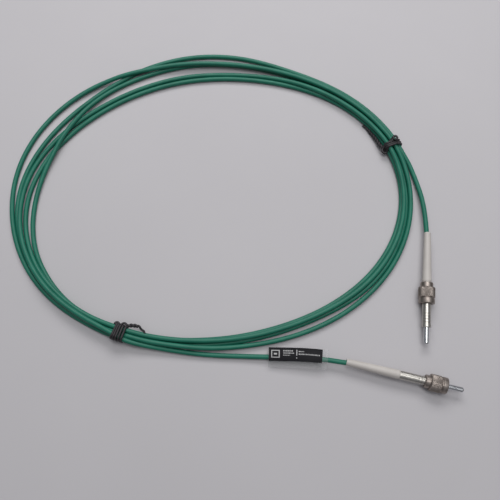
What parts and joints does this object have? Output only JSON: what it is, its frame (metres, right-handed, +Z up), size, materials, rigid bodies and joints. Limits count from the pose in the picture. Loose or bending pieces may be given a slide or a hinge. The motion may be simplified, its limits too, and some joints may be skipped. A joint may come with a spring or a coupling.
{
  "type": "fiber optic patch cord",
  "caption": "Coiled single-fibre optical patch cord with green jacket, white boots and a knurled screw coupling connector at each end, tied in two places.",
  "frame": {"origin": "on the surface the coil lies on, under the middle of the whole part's box", "axes": "+Z up from the surface, +X along the longer side of the layout, +Y away from the two connectors"},
  "size_m": [0.2823, 0.2287, 0.011],
  "materials": {
    "jacket": "satin green PVC jacket",
    "boot": "satin white moulded elastomer",
    "connector_metal": "satin nickel plate",
    "nut_metal": "knurled nickel plate",
    "ferrule_steel": "polished stainless steel",
    "ring_steel": "spring steel",
    "crimp_metal": "plated brass",
    "yarn": "aramid yarn",
    "buffer": "natural tight buffer",
    "fibre": "polished glass",
    "epoxy": "cured epoxy",
    "tie": "black coated wire",
    "clear_sleeve": "clear flattened sleeve",
    "label": "black printed polyester"
  },
  "bodies": {
    "root": {"boot_a": "boot", "crimp_sleeve_a": "crimp_metal", "aramid_yarn_a": "yarn", "buffer_tube_a": "buffer", "epoxy_a": "epoxy", "fibre_a": "fibre", "ferrule_a": "ferrule_steel", "connector_body_a": "connector_metal", "boot_b": "boot", "crimp_sleeve_b": "crimp_metal", "aramid_yarn_b": "yarn", "buffer_tube_b": "buffer", "epoxy_b": "epoxy", "fibre_b": "fibre", "ferrule_b": "ferrule_steel", "connector_body_b": "connector_metal", "cord_lead_a": "jacket", "cord_coil": "jacket", "cord_lead_b": "jacket", "tie_a": "tie", "tie_b": "tie", "label_sleeve": "clear_sleeve", "label_strip": "label"},
    "retaining_ring_a": {"nut_retaining_ring_a": "ring_steel"},
    "coupling_nut_a": {"coupling_nut_a": "nut_metal"},
    "retaining_ring_b": {"nut_retaining_ring_b": "ring_steel"},
    "coupling_nut_b": {"coupling_nut_b": "nut_metal"}
  },
  "joints": [
    {"name": "nut_slide_a", "type": "slide", "parent": "root", "child": "retaining_ring_a", "axis": [-0.0906, -0.9959, 0], "range_m": [-0.00025, 0.0239]},
    {"name": "nut_spin_a", "type": "hinge", "parent": "retaining_ring_a", "child": "coupling_nut_a", "pos_m": [0.12407, -0.05414, 0.0051], "axis": [-0.0906, -0.9959, 0], "continuous": true},
    {"name": "nut_slide_b", "type": "slide", "parent": "root", "child": "retaining_ring_b", "axis": [0.9724, -0.2334, 0], "range_m": [-0.01485, 0.0093]},
    {"name": "nut_spin_b", "type": "hinge", "parent": "retaining_ring_b", "child": "coupling_nut_b", "pos_m": [0.12492, -0.10819, 0.0051], "axis": [0.9724, -0.2334, 0], "continuous": true}
  ]
}
